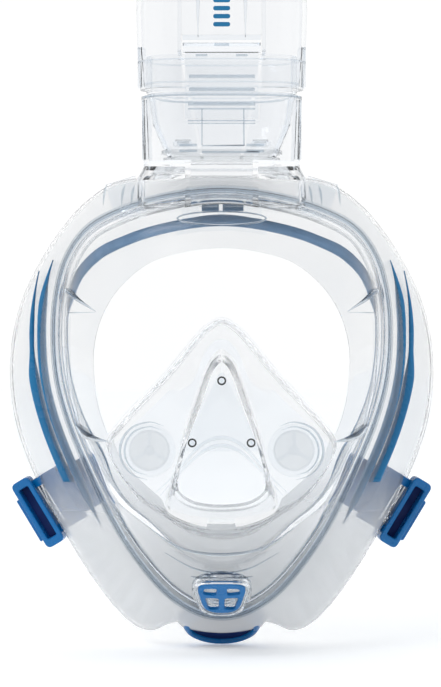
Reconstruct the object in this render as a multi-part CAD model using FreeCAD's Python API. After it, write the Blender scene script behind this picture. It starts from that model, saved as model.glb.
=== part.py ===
import FreeCAD, Part
import math
import os

# Full-face snorkel mask. Millimetres, +Z up as worn, the front faces -Y, +X is to the right of someone
# who looks at the front. The origin is the middle of the face seal, between the two temples.

Vec = FreeCAD.Vector

# ---- driving dimensions ----
SWEEP_RADIUS = 115.0        # the front bends back round the face on this radius
FRONT_Y = -100.0            # foremost point of the window
PANE_FRONT_Y = -99.7
PANE_BACK_Y = -97.7
FLANGE_Y = -72.0            # front of the window's clamping flange
WALL = 2.4                  # clear plastic walls
GAP = 0.15                  # clearance between rigid pieces
BEZEL_OUT = 2.0             # how far the bezel stands outside the window's flange
SOFT_Y = -40.0              # where the skirt is widest
SEAL_Y = -6.0               # rearmost ring of the face seal, at the middle
HALF_SAMPLES = 24           # samples along half of an outline

TUBE_Y = -64.0              # centre line of the snorkel
TUBE_FOOT_WIDTH = 70.0
TUBE_WIDTH = 73.5
TUBE_DEPTH = 34.0
TUBE_TOP_WIDTH = 62.0
TUBE_TOP_DEPTH = 30.0
TUBE_WALL = 2.0
TUBE_FOOT_Z = 134.0
TUBE_TOP_Z = 272.0
WEB_X = 18.0                # the two walls that divide the tube into three channels

SOCKET_TOP_Z = 131.0
SOCKET_FLOOR_Z = 103.0
SOCKET_HALF = 34.5
SOCKET_DEPTH = 42.0
SHOULDER_HALF = 36.5
NECK_HALF = 13.0            # inside of the neck that joins the socket to the window
PLUG_TOP_HALF = 31.0
PLUG_FOOT_HALF = 23.5
PLUG_FOOT_Z = 105.0

LATCH_PIVOT_Z = 150.5
LATCH_PIVOT_Y = -81.0
LATCH_Y = -82.2             # front face of the latch's tab

PURGE_TILT = 52.0           # degrees the chin valve looks down from the front
PURGE_CENTRE = Vec(0, -85.6, -79.2)   # on the outside of the chin wall
PURGE_RADIUS = 10.0
CAP_TILT = 60.0
CAP_CENTRE = Vec(0, -45.0, -93.0)
CAP_RADIUS = 17.5

CLIP_CENTRE_X = 82.5
CLIP_CENTRE_Z = -50.0
CLIP_CENTRE_Y = -6.0
CLIP_LEAN = 31.0            # degrees the clip's long side leans outward at its top
CLIP_TURN = 22.0            # degrees its face turns outward
CLIP_LENGTH = 32.0
CLIP_WIDTH = 12.0
CLIP_THICK = 6.5
PIN_RADIUS = 1.5

LOOP_X = 43.8               # upper strap anchors, before they lean
LOOP_Y = -58.5
LOOP_TOP_Z = 97.5
LOOP_WIDTH = 13.5
LOOP_LEAN = 17.0

VALVE_X = 31.6              # the two check valves of the mouth pocket
VALVE_Z = -21.6
VALVE_RADIUS = 9.0
VALVE_Y = -35.2
SEAT_RIM = 2.6              # width of a valve seat's ring outside its flap
SEAT_THICK = 4.0
SPIDER_THICK = 1.4
FLAP_THICK = 0.8

EXHALE_Z = 110.0            # exhale valves in the snorkel base's side channels

NOSE_FACE_Y = -68.0
NOSE_RIVETS = [(0, 9.5), (-12.5, -17.0), (12.5, -17.0)]

DRYTOP_BOTTOM_Z = 262.0
DRYTOP_FLOOR_Z = 277.0
SEAT_Z = 305.0              # underside of the air inlet seat that the float closes
DRYTOP_TOP_Z = 330.0
DRYTOP_WIDTH = 70.0
DRYTOP_DEPTH = 42.0
FLOAT_WIDTH = 46.0
FLOAT_DEPTH = 17.0
FLOAT_HEIGHT = 15.0
FLOAT_Y = TUBE_Y - 7.0

# Right halves of the outlines, from the top of the mask to the chin, as (x, z).
RIM = [(0, 90.5), (22, 88.2), (43, 82.5), (58, 74.5), (67, 62), (71.6, 45), (72.6, 28), (71, 10),
       (66, -8), (57, -29), (47, -49), (36, -66), (22, -81.5), (9, -89), (0, -90.5)]
WINDOW = [(0, 80), (22, 78.3), (40, 73), (52, 64.5), (59, 52), (62, 32), (61.2, 8), (58.5, -12),
          (53, -27), (44, -39), (32, -49), (20, -59), (9, -66.5), (0, -68.5)]
SILHOUETTE = [(0, 99), (24, 98.5), (47, 96.2), (60, 88.5), (72, 76), (82, 61.5), (90.5, 45), (95.5, 26),
              (96.3, 8), (93, -12), (84, -34.5), (68, -62), (55.5, -80.5), (46, -91.8), (38, -98.5),
              (31, -100.5), (23, -97.5), (12, -95), (0, -94.5)]
OPENING = [(0, 68), (18, 66), (33, 61), (48, 47.5), (56.5, 29), (58, 12), (55.5, -4), (49.5, -18.5),
           (41, -31), (31, -40.5), (19, -48.5), (8, -52), (0, -52.5)]
POCKET = [(0, 35), (6, 32), (24, 11), (44, -10.5), (50.5, -20), (49, -30), (40, -42), (26, -52.5),
          (12, -58.5), (0, -60)]
NOSE_BACK = [(0, 26), (5, 22), (12, 4), (17.8, -16), (18.8, -26), (23.5, -38), (24.5, -46), (17, -51.5),
             (0, -53.5)]
NOSE_FRONT = [(0, 18.5), (4, 15.5), (10.5, -1), (16.8, -18), (19.5, -29), (19.5, -37), (13, -42.5),
              (0, -44.5)]


def sweep(x):
    """How far the mask has bent back at x."""
    reach = min(abs(x), SWEEP_RADIUS - 2)
    return SWEEP_RADIUS - math.sqrt(SWEEP_RADIUS ** 2 - reach ** 2)


def sample(half):
    """A closed list of evenly spaced (x, z) points round a mirrored outline."""
    curve = Part.BSplineCurve()
    curve.interpolate([Vec(x, 0, z) for x, z in half], InitialTangent=Vec(1, 0, 0),
                      FinalTangent=Vec(-1, 0, 0))
    right = [(p.x, p.z) for p in curve.discretize(Number=HALF_SAMPLES + 1)]
    left = [(-x, z) for x, z in right[-2:0:-1]]
    return right + left


def offset(points, distance):
    """The outline moved outward by a distance (inward if it is negative)."""
    moved = []
    count = len(points)
    for i, (x, z) in enumerate(points):
        ahead = points[(i + 1) % count]
        behind = points[i - 1]
        dx = ahead[0] - behind[0]
        dz = ahead[1] - behind[1]
        length = math.hypot(dx, dz)
        moved.append((x - dz / length * distance, z + dx / length * distance))
    return moved


def mix(first, second, share):
    """The outline between two others; share is a number or a function of (x, z)."""
    mixed = []
    for (x0, z0), (x1, z1) in zip(first, second):
        part = share(x0, z0) if callable(share) else share
        mixed.append((x0 + (x1 - x0) * part, z0 + (z1 - z0) * part))
    return mixed


def ring(points, depth):
    """A closed smooth edge through an outline, bent back round the face."""
    curve = Part.BSplineCurve()
    curve.interpolate([Vec(x, depth + sweep(x), z) for x, z in points], PeriodicFlag=True)
    return curve.toShape()


def closed_solid(faces):
    """A solid from faces that close up, turned the right way out."""
    shell = Part.makeShell(faces)
    shell.sewShape()
    solid = Part.makeSolid(shell)
    far_away = Vec(0, 0, 1000)
    if solid.isInside(far_away, 0.01, False):
        solid.reverse()
    return solid


def ring_solid(section):
    """A closed band: section lists the (outline, depth) corners of its cross-section."""
    edges = [ring(points, depth) for points, depth in section]
    return closed_solid([Part.makeRuledSurface(edges[i - 1], edges[i]) for i in range(len(edges))])


def flat_edge(points, y):
    """A closed smooth edge in a plane of constant y."""
    curve = Part.BSplineCurve()
    curve.interpolate([Vec(x, y, z) for x, z in points], PeriodicFlag=True)
    return curve.toShape()


def prism(points, y_from, y_to):
    face = Part.Face(Part.Wire(flat_edge(points, y_from)))
    return face.extrude(Vec(0, y_to - y_from, 0))


def frustum(first, first_y, second, second_y):
    """A solid between two flat outlines at different depths."""
    edges = [flat_edge(first, first_y), flat_edge(second, second_y)]
    caps = [Part.Face(Part.Wire(edge)) for edge in edges]
    return closed_solid([Part.makeRuledSurface(edges[0], edges[1])] + caps)


def bent_slab(y_front, y_back):
    """The space between two bent surfaces, in front of and behind it."""
    tall = 400.0
    low = Vec(0, 0, -tall / 2)
    outer = Part.makeCylinder(SWEEP_RADIUS, tall, low + Vec(0, y_front + SWEEP_RADIUS, 0))
    inner = Part.makeCylinder(SWEEP_RADIUS, tall, low + Vec(0, y_back + SWEEP_RADIUS, 0))
    front_half = box(-150, 150, -150, y_back + SWEEP_RADIUS, -tall / 2, tall / 2)
    return outer.common(front_half).cut(inner)


def box(x0, x1, y0, y1, z0, z1):
    return Part.makeBox(x1 - x0, y1 - y0, z1 - z0, Vec(x0, y0, z0))


def stadium(width, depth, z, y):
    """A flat-sided oval wire at height z."""
    r = depth / 2
    x = width / 2 - r
    arc_right = Part.Arc(Vec(x, y - r, z), Vec(x + r, y, z), Vec(x, y + r, z)).toShape()
    arc_left = Part.Arc(Vec(-x, y + r, z), Vec(-x - r, y, z), Vec(-x, y - r, z)).toShape()
    back = Part.LineSegment(Vec(x, y + r, z), Vec(-x, y + r, z)).toShape()
    front = Part.LineSegment(Vec(-x, y - r, z), Vec(x, y - r, z)).toShape()
    return Part.Wire([front, arc_right, back, arc_left])


def oval(levels, y=TUBE_Y):
    """A solid through flat-sided ovals; levels lists (width, depth, z)."""
    return Part.makeLoft([stadium(w, d, z, y) for w, d, z in levels], True, True)


def oval_tube(levels, wall, y=TUBE_Y):
    """An open oval tube with a constant wall."""
    inner = [(w - 2 * wall, d - 2 * wall, z) for w, d, z in levels]
    z_low, z_high = levels[0][2], levels[-1][2]
    inner = [(inner[0][0], inner[0][1], z_low - 1)] + inner + [(inner[-1][0], inner[-1][1], z_high + 1)]
    return oval(levels, y).cut(oval(inner, y))


def disc(radius, thickness, centre, axis):
    return Part.makeCylinder(radius, thickness, centre, axis)


def annulus(outer, inner, thickness, centre, axis):
    return disc(outer, thickness, centre, axis).cut(disc(inner, thickness, centre, axis))


def mirrored(shape):
    return shape.mirror(Vec(0, 0, 0), Vec(1, 0, 0))


def turned(shape, centre, lean, turn, side):
    """Stand a piece that was drawn at the origin at a strap clip's place and angle."""
    shape.rotate(Vec(0, 0, 0), Vec(0, 0, 1), turn)
    shape.rotate(Vec(0, 0, 0), Vec(0, 1, 0), lean)
    shape.translate(centre)
    return mirrored(shape) if side < 0 else shape


def save(shape, name):
    solids = shape.Solids
    clean = solids[0] if len(solids) == 1 else Part.makeCompound(solids)
    clean.exportStep("parts/" + name + ".step")
    print("%-22s solids %d  volume %9.1f  valid %s" % (name, len(solids), clean.Volume, clean.isValid()))


rim = sample(RIM)
window = sample(WINDOW)
silhouette = sample(SILHOUETTE)
opening = sample(OPENING)
pocket = sample(POCKET)

chin_axis = Vec(0, -math.cos(math.radians(PURGE_TILT)), -math.sin(math.radians(PURGE_TILT)))
cap_axis = Vec(0, -math.cos(math.radians(CAP_TILT)), -math.sin(math.radians(CAP_TILT)))


# ---- window, frames and skirt ----
def visor_lens():
    """Bent window pane, its flared side wall and the flange that is clamped."""
    wall = ring_solid([(window, FRONT_Y), (offset(rim, -4.5), FLANGE_Y), (rim, FLANGE_Y),
                       (rim, FLANGE_Y + 2.8), (offset(rim, -6.5), FLANGE_Y + 2.8),
                       (offset(window, -WALL), FRONT_Y + 3.0), (offset(window, -WALL), FRONT_Y)])
    pane = prism(offset(window, -1.2), -130, 0).common(bent_slab(PANE_FRONT_Y, PANE_BACK_Y))
    lens = wall.fuse(pane)
    lens = lens.cut(disc(PURGE_RADIUS + SEAT_RIM + 0.1, 16, PURGE_CENTRE - chin_axis * 8, chin_axis))
    lens = lens.cut(box(-17.2, 17.2, -75.6, FLANGE_Y - 0.1, 76, 86.2))
    return lens.cut(box(-13, 13, -89, -76, 70, 100))


def front_frame():
    """Clear bezel that hooks over the flange all round."""
    lip = offset(rim, -1.2)
    outside = offset(rim, BEZEL_OUT)
    inside = offset(rim, GAP)
    return ring_solid([(lip, FLANGE_Y - 2.4), (outside, FLANGE_Y - 2.0), (outside, FLANGE_Y + 8.0),
                       (inside, FLANGE_Y + 8.0), (inside, FLANGE_Y - 0.4), (lip, FLANGE_Y - 0.4)])


def eased(t):
    """A smooth step from 0 to 1."""
    t = min(max(t, 0.0), 1.0)
    return t * t * (3 - 2 * t)


def side_share(x, z):
    """0 at the middle of the mask, 1 at its sides."""
    return eased((abs(x) - 26.0) / 34.0)


def brow_share(x, z):
    """0 below the brow, 1 above it."""
    return eased((z - 36.0) / 16.0)


def skirt_body():
    """Soft skirt: a bead behind the window's flange, the flared wall and the lip that seals on the face."""
    bead = FLANGE_Y + 3.1
    bead_in = mix(offset(rim, -6.5), offset(rim, -9.0), brow_share)
    outer = [(bead_in, bead), (rim, bead), (rim, bead + 5.4), (mix(rim, silhouette, 0.45), -57.0),
             (mix(rim, silhouette, 0.85), -48.0), (silhouette, SOFT_Y),
             (mix(silhouette, opening, 0.1), -28.0), (mix(silhouette, opening, 0.4), -11.0),
             (mix(silhouette, opening, 0.65), SEAL_Y), (opening, SEAL_Y - 6)]
    inner = [(opening, SEAL_Y - 8), (mix(silhouette, opening, 0.65), SEAL_Y - 2.2),
             (mix(silhouette, opening, 0.42), -13.6), (mix(silhouette, opening, 0.15), -29.0),
             (offset(silhouette, -2.4), SOFT_Y),
             (mix(offset(rim, -2), offset(silhouette, -2.4), 0.82), -46.2),
             (mix(offset(rim, -2), offset(silhouette, -2), 0.44), -54.8), (offset(rim, -2), bead + 6.0),
             (offset(rim, -2), bead + 2.2), (bead_in, bead + 2.2)]
    return ring_solid(outer + inner)


def seal_frame():
    """Coloured inner frame behind the skirt's bead, wider over the brow; its sides flare back."""
    front = FLANGE_Y + 5.6
    base_in = mix(offset(rim, -8.5), offset(rim, -13.5), brow_share)
    base_out = offset(rim, -2.4)
    flare_out = mix(base_out, offset(silhouette, -3.0), lambda x, z: 0.5 * side_share(x, z))
    flare_in = mix(offset(rim, -4.6), offset(silhouette, -5.4), lambda x, z: 0.5 * side_share(x, z))
    return ring_solid([(base_in, front), (base_out, front), (base_out, front + 4.8),
                       (flare_out, front + 16.5), (flare_in, front + 17.0),
                       (offset(rim, -4.9), front + 5.6), (base_in, front + 3.0)])


def oronasal_pocket():
    """Nose and mouth cup: a bent wing, its edge wall and the nose box, with holes for the check valves."""
    wing = prism(pocket, -70, 10).common(bent_slab(-38, -36))
    edge = prism(pocket, -70, 20).cut(prism(offset(pocket, -2), -71, 21)).common(bent_slab(-38, -17))
    nose_back = sample(NOSE_BACK)
    nose_front = sample(NOSE_FRONT)
    outer = frustum(nose_back, -36.5, nose_front, NOSE_FACE_Y)
    inner = frustum(offset(nose_back, -1.8), -30, offset(nose_front, -1.8), NOSE_FACE_Y + 2)
    cup = wing.fuse(edge).fuse(outer).cut(inner)
    for x in (-VALVE_X, VALVE_X):
        cup = cup.cut(disc(VALVE_RADIUS + SEAT_RIM + GAP, 40, Vec(x, -55, VALVE_Z), Vec(0, 1, 0)))
    for x, z in NOSE_RIVETS:
        cup = cup.cut(disc(1.25, 5, Vec(x, NOSE_FACE_Y - 1, z), Vec(0, 1, 0)))
    return cup


def nose_plate():
    """Clear stiffening plate on the front of the nose box."""
    y = NOSE_FACE_Y - 0.1
    corners = [Vec(0, y, 15.0), Vec(17.0, y, -20.5), Vec(-17.0, y, -20.5), Vec(0, y, 15.0)]
    plate = Part.Face(Part.makePolygon(corners)).extrude(Vec(0, -1.8, 0))
    upright = [e for e in plate.Edges if abs(e.tangentAt(e.FirstParameter).y) > 0.9]
    plate = plate.makeFillet(1.6, upright)
    for x, z in NOSE_RIVETS:
        plate = plate.cut(disc(1.25, 6, Vec(x, y - 4, z), Vec(0, 1, 0)))
    return plate


def nose_plate_rivets():
    rivets = []
    face = NOSE_FACE_Y - 1.9
    for x, z in NOSE_RIVETS:
        head = disc(1.9, 0.8, Vec(x, face - 0.8, z), Vec(0, 1, 0))
        shank = disc(1.2, 3.7, Vec(x, face - 0.4, z), Vec(0, 1, 0))
        rivets.append(head.fuse(shank))
    return Part.makeCompound(rivets)


# ---- valves ----
def valve_seat(radius, centre, axis):
    """Ring with a three-armed spider and a hub; its flap lies on the face at the far end of the axis."""
    seat = annulus(radius + SEAT_RIM, radius - 0.8, SEAT_THICK, centre, axis)
    seat = seat.cut(disc(radius + 0.4, 1.0, centre + axis * (SEAT_THICK - 1.0), axis))
    hub_base = centre + axis * (SEAT_THICK - 1.0 - SPIDER_THICK)
    spider = disc(2.2, SPIDER_THICK, hub_base, axis)
    for i in range(3):
        arm = Part.makeBox(radius, 1.4, SPIDER_THICK, Vec(0, -0.7, 0))
        arm.rotate(Vec(0, 0, 0), Vec(0, 0, 1), 120 * i + 30)
        stand = FreeCAD.Placement(hub_base, FreeCAD.Rotation(Vec(0, 0, 1), axis))
        arm.Placement = stand.multiply(arm.Placement)
        spider = spider.fuse(arm)
    return seat.fuse(spider)


def valve_flap(radius, centre, axis):
    """Silicone flap with a low centre button, lying on its seat."""
    base = centre + axis * (SEAT_THICK - 1.0 + 0.04)
    return disc(radius, FLAP_THICK, base, axis).fuse(disc(1.8, 1.5, base, axis))


def inhale_centre(side):
    return Vec(side * VALVE_X, VALVE_Y, VALVE_Z)


def purge_base():
    return PURGE_CENTRE - chin_axis * 3.0


def purge_cover():
    """Round grille with four windows between two crossing bars, on a short rim over the flap."""
    top = purge_base() + chin_axis * (SEAT_THICK + 0.05)
    cover = disc(PURGE_RADIUS + 1.2, 3.6, top, chin_axis)
    cover = cover.cut(disc(PURGE_RADIUS, 2.0, top, chin_axis))
    across = chin_axis.cross(Vec(1, 0, 0)).normalize()
    for side in (-1, 1):
        for up in (-1, 1):
            centre = top + Vec(1, 0, 0) * (side * 4.4) + across * (up * 4.2)
            cover = cover.cut(disc(3.1, 6, centre, chin_axis))
    return cover


def chin_cap():
    """Round drain cap under the chin: a rim round a sunken face."""
    cap = disc(CAP_RADIUS, 5.0, CAP_CENTRE - cap_axis * 5.0, cap_axis)
    cap = cap.cut(disc(CAP_RADIUS - 2.2, 2.0, CAP_CENTRE - cap_axis * 2.0, cap_axis))
    return cap.fuse(disc(3.0, 1.5, CAP_CENTRE - cap_axis * 2.0, cap_axis))


def cap_clearance():
    return disc(CAP_RADIUS + 0.2, 30.0, CAP_CENTRE - cap_axis * 16.0, cap_axis)


# ---- forehead ----
def air_inlet_frame():
    """Clear frame of the two air inlets at the top of the window."""
    frame = box(-17, 17, -75.4, -72.4, 77.5, 86.0)
    for side in (-1, 1):
        x0, x1 = sorted((side * 1.6, side * 9.6))
        frame = frame.cut(box(x0, x1, -80, -70, 80.2, 84.2))
    return frame


def air_baffle():
    """Clear crescent that spreads the incoming air over the window."""
    blade = Part.makeCylinder(60, 3.0, Vec(0, -76.0, 20.5), Vec(0, -1, 0))
    blade = blade.cut(Part.makeCylinder(80, 5.0, Vec(0, -75.0, -6.5), Vec(0, -1, 0)))
    blade = blade.common(box(-19, 19, -90, -70, 60, 90))
    return blade.fuse(box(-0.8, 0.8, -79.0, -75.55, 73.6, 77.0))


# ---- strap hardware ----
def clip_centre():
    return Vec(CLIP_CENTRE_X, CLIP_CENTRE_Y, CLIP_CENTRE_Z)


def strap_clip(side):
    """Rounded plate with the strap slot, a grip ridge and a hinge barrel along its inner edge."""
    half = CLIP_LENGTH / 2
    plate = box(-CLIP_WIDTH / 2, CLIP_WIDTH / 2, -CLIP_THICK / 2, CLIP_THICK / 2, -half, half)
    plate = plate.makeFillet(2.2, [e for e in plate.Edges if abs(e.tangentAt(e.FirstParameter).y) > 0.9])
    slot = box(-0.6, 3.0, -10, 10, -12.3, 12.3)
    ridge = box(4.6, 6.8, CLIP_THICK / 2 - 5.0, CLIP_THICK / 2 - 1.0, -11, 11)
    barrel = disc(3.2, 18.0, Vec(-CLIP_WIDTH / 2 - 0.6, 0, -9.0), Vec(0, 0, 1))
    clip = plate.cut(slot).fuse(ridge).fuse(barrel)
    clip = clip.cut(disc(PIN_RADIUS + 0.06, 40, Vec(-CLIP_WIDTH / 2 - 0.6, 0, -20), Vec(0, 0, 1)))
    for z0 in (-half - 1, 9.3):
        clip = clip.cut(box(-CLIP_WIDTH / 2 - 6, -CLIP_WIDTH / 2 + 2.9, -8, 8, z0, z0 + half - 8.3))
    return turned(clip, clip_centre(), CLIP_LEAN, CLIP_TURN, side)


def clip_pin(side):
    pin = disc(PIN_RADIUS, 27.0, Vec(-CLIP_WIDTH / 2 - 0.6, 0, -13.5), Vec(0, 0, 1))
    return turned(pin, clip_centre(), CLIP_LEAN, CLIP_TURN, side)


def bracket_blank():
    """Two ears and a web, drawn at the origin, with an arm that turns forward to the inner frame."""
    pivot_x = -CLIP_WIDTH / 2 - 0.6
    web = box(pivot_x - 13.0, pivot_x - 4.6, -1.8, 1.8, -13.2, 13.2)
    ears = box(pivot_x - 5.0, pivot_x, -2.8, 2.8, -13.2, -9.5)
    ears = ears.fuse(disc(2.8, 3.7, Vec(pivot_x, 0, -13.2), Vec(0, 0, 1)))
    ears = ears.fuse(ears.mirror(Vec(0, 0, 0), Vec(0, 0, 1)))
    arm = box(-24.0, 0.0, -1.2, 1.2, -11.0, 11.0)
    arm.rotate(Vec(0, 0, 0), Vec(0, 0, 1), 34)
    arm.translate(Vec(pivot_x - 12.0, 0, 0))
    blank = ears.fuse(web).fuse(arm)
    return blank.cut(disc(PIN_RADIUS + 0.02, 40, Vec(pivot_x, 0, -20), Vec(0, 0, 1)))


def strap_bracket(side):
    """Two ears for the clip's pin on a web that comes out of the inner frame."""
    return turned(bracket_blank(), clip_centre(), CLIP_LEAN, CLIP_TURN, side)


def bracket_window(side):
    """The slot the bracket needs through the skirt."""
    pivot_x = -CLIP_WIDTH / 2 - 0.6
    hole = box(pivot_x - 13.4, pivot_x + 11.0, -4.6, 4.6, -17.0, 17.0)
    return turned(hole, clip_centre(), CLIP_LEAN, CLIP_TURN, side)


def bezel_envelope():
    """Everything inside the bezel's outer edge, with a little clearance."""
    edge = offset(rim, BEZEL_OUT + 2 * GAP)
    return ring_solid([(edge, FLANGE_Y - 2.9), (edge, FLANGE_Y + 40),
                       (offset(rim, -30), FLANGE_Y + 40), (offset(rim, -30), FLANGE_Y - 2.9)])


def window_envelope():
    """Everything inside the window's flared side wall, with a little clearance."""
    return ring_solid([(offset(window, GAP), FRONT_Y - 0.4), (offset(rim, GAP), FLANGE_Y - 0.1),
                       (offset(rim, -30), FLANGE_Y - 0.1), (offset(window, -25), FRONT_Y - 0.4)])


def strap_loop(side):
    """Upper strap anchor on the bezel: a clear box with upright bars and a strap gap behind them."""
    x_low = LOOP_X - LOOP_WIDTH / 2
    loop = box(x_low, x_low + LOOP_WIDTH, LOOP_Y - 4.9, LOOP_Y + 3.5, LOOP_TOP_Z - 20.0, LOOP_TOP_Z)
    gap_low, gap_top = LOOP_TOP_Z - 10.7, LOOP_TOP_Z - 2.0
    for x in (x_low + 2.0, x_low + 7.6):
        loop = loop.cut(box(x, x + 3.8, LOOP_Y - 7.0, LOOP_Y - 3.3, gap_low, gap_top))
    strap_gap = box(x_low + 2.0, x_low + 30, LOOP_Y - 1.7, LOOP_Y + 1.7, gap_low, gap_top)
    loop = loop.cut(strap_gap)
    loop.rotate(Vec(x_low, LOOP_Y, LOOP_TOP_Z), Vec(0, 1, 0), LOOP_LEAN)
    loop = loop.cut(bezel_envelope()).cut(window_envelope())
    loop = max(loop.Solids, key=lambda piece: piece.Volume)
    return mirrored(loop) if side < 0 else loop


# ---- snorkel ----
def snorkel_socket():
    """Clear oval socket with its shoulders and the neck that leads the air down to the window."""
    wall = oval_tube([(2 * SOCKET_HALF - 2, SOCKET_DEPTH, SOCKET_FLOOR_Z),
                      (2 * SOCKET_HALF, SOCKET_DEPTH, SOCKET_TOP_Z)], WALL)
    floor = oval([(2 * SOCKET_HALF - 2, SOCKET_DEPTH, SOCKET_FLOOR_Z - 2.4),
                  (2 * SOCKET_HALF - 2, SOCKET_DEPTH, SOCKET_FLOOR_Z)])
    shoulders = oval([(2 * SHOULDER_HALF, SOCKET_DEPTH, 84.0), (2 * SHOULDER_HALF - 1, SOCKET_DEPTH, 96.5),
                      (2 * SOCKET_HALF - 2, SOCKET_DEPTH, 101.0)])
    hollow_depth = SOCKET_DEPTH - 2 * WALL
    shoulders = shoulders.cut(oval([(2 * SHOULDER_HALF - 5, hollow_depth, 80.0),
                                    (2 * SHOULDER_HALF - 6, hollow_depth, 95.0), (60, hollow_depth, 100.0)]))
    shoulders = shoulders.cut(box(-60, 60, -63.4, 0, 70, 100.4))
    neck = box(-NECK_HALF - WALL, NECK_HALF + WALL, -91.5, -64, 78, 101.5)
    bore = box(-NECK_HALF, NECK_HALF, -89, -76, 70, SOCKET_FLOOR_Z - 2)
    duct = box(-NECK_HALF, NECK_HALF, -80, -66, SOCKET_FLOOR_Z - 4, SOCKET_FLOOR_Z + 1)
    duct = duct.fuse(box(-NECK_HALF, NECK_HALF, -89, -66, 96.5, SOCKET_FLOOR_Z - 2))
    notch = box(-16.2, 16.2, LATCH_Y - 5, TUBE_Y - 14, 119.5, SOCKET_TOP_Z + 1)
    socket = wall.fuse(floor).fuse(shoulders).fuse(neck).cut(bore).cut(duct).cut(notch)
    socket = socket.cut(window_envelope()).cut(bezel_envelope())
    return max(socket.Solids, key=lambda piece: piece.Volume)


def socket_gasket():
    """Oval seal on the socket's floor, under the plug's foot."""
    size = (2 * PLUG_FOOT_HALF + 3, 27)
    return oval_tube([size + (SOCKET_FLOOR_Z + 0.02,), size + (SOCKET_FLOOR_Z + 1.7,)], 3.2)


def snorkel_base():
    """Connector: a spigot up into the tube, a collar, and a plug that tapers down into the socket."""
    spigot = (TUBE_FOOT_WIDTH - 2 * TUBE_WALL - 1.4, TUBE_DEPTH - 2 * TUBE_WALL - 1.2)
    levels = [(2 * PLUG_FOOT_HALF, 24, PLUG_FOOT_Z), (2 * PLUG_TOP_HALF - 3, 28, 119.0),
              (2 * PLUG_TOP_HALF, 29, 129.0), spigot + (133.0,), spigot + (148.0,)]
    base = oval_tube(levels, 1.8)
    inside = oval([(w - 1, d - 1, z) for w, d, z in levels])
    for side in (-1, 1):
        base = base.fuse(web_plate(side, 8.5, 17.0, PLUG_FOOT_Z, 147.0, 1.5).common(inside))
    return base


def web_plate(side, x_low, x_high, z_low, z_high, thick):
    """A leaning wall between two channels, as deep as the tube; the caller cuts it to the oval."""

    def row(x, z):
        return [Vec(x - thick / 2, TUBE_Y - TUBE_DEPTH, z), Vec(x + thick / 2, TUBE_Y - TUBE_DEPTH, z)]

    low = row(side * x_low, z_low)
    high = row(side * x_high, z_high)
    face = Part.Face(Part.makePolygon([low[0], low[1], high[1], high[0], low[0]]))
    return face.extrude(Vec(0, 2 * TUBE_DEPTH, 0))


def base_seal():
    """O-ring round the plug's foot."""
    size = (2 * PLUG_FOOT_HALF + 4.8, 27.8)
    return oval_tube([size + (106.4,), size + (107.8,)], 1.1)


def snorkel_tube():
    """Oval tube that widens above its foot and narrows to the top, with three channels."""
    levels = [(TUBE_FOOT_WIDTH, TUBE_DEPTH, TUBE_FOOT_Z), (TUBE_WIDTH - 1.2, TUBE_DEPTH, 150.0),
              (TUBE_WIDTH, TUBE_DEPTH, 168.0), (TUBE_TOP_WIDTH, TUBE_TOP_DEPTH, TUBE_TOP_Z)]
    tube = oval_tube(levels, TUBE_WALL)
    for side in (-1, 1):
        web_x = side * WEB_X
        wall = box(web_x - 0.75, web_x + 0.75, TUBE_Y - 14.5, TUBE_Y + 14.5, 150.0, TUBE_TOP_Z)
        tube = tube.fuse(wall.common(oval([(w - 1, d - 1, z) for w, d, z in levels])))
    return tube.cut(box(-17.0, 17.0, -90, TUBE_Y - 10, 130, LATCH_PIVOT_Z + 5.5))


def release_latch():
    """Sprung tab on the front: a cross bar with end wings, two grip ribs and the catch nubs."""
    front = LATCH_Y
    tab = box(-15.5, 15.5, front, front + 1.4, 120.5, LATCH_PIVOT_Z)
    bar = disc(2.2, 33.0, Vec(-16.5, LATCH_PIVOT_Y, LATCH_PIVOT_Z), Vec(1, 0, 0))
    latch = tab.fuse(bar)
    for z in (132.5, 138.0):
        latch = latch.fuse(box(-14.5, 14.5, front - 1.0, front + 0.2, z - 0.7, z + 0.7))
    for x in (-11, 11):
        latch = latch.fuse(box(x - 1.8, x + 1.8, front - 1.2, front + 0.2, 121.5, 124.0))
    return latch


def tube_mark():
    """Plain depth-gauge motif printed on the tube: a stack of short rounded bars."""
    bars = []
    front = TUBE_Y - TUBE_DEPTH / 2
    for i in range(5):
        z = 159.5 + 3.4 * i
        bar = box(-3.6, 3.6, front - 0.35, front - 0.02, z, z + 1.9)
        ends = [e for e in bar.Edges if abs(e.tangentAt(e.FirstParameter).y) > 0.9]
        bars.append(bar.makeFillet(0.9, ends))
    return Part.makeCompound(bars)


def exhale_seat(side):
    """Small frame across a side channel of the base, open in its middle."""
    seat = box(12.4, 20.4, TUBE_Y - 7, TUBE_Y + 7, EXHALE_Z, EXHALE_Z + 1.6)
    seat = seat.cut(box(14.0, 18.8, TUBE_Y - 5.4, TUBE_Y + 5.4, EXHALE_Z - 1, EXHALE_Z + 3))
    seat = seat.fuse(box(13.6, 19.2, TUBE_Y - 0.6, TUBE_Y + 0.6, EXHALE_Z, EXHALE_Z + 1.6))
    return mirrored(seat) if side < 0 else seat


def exhale_flap(side):
    z = EXHALE_Z + 1.64
    flap = box(13.2, 19.6, TUBE_Y - 6.2, TUBE_Y + 6.2, z, z + FLAP_THICK)
    return mirrored(flap) if side < 0 else flap


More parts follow.
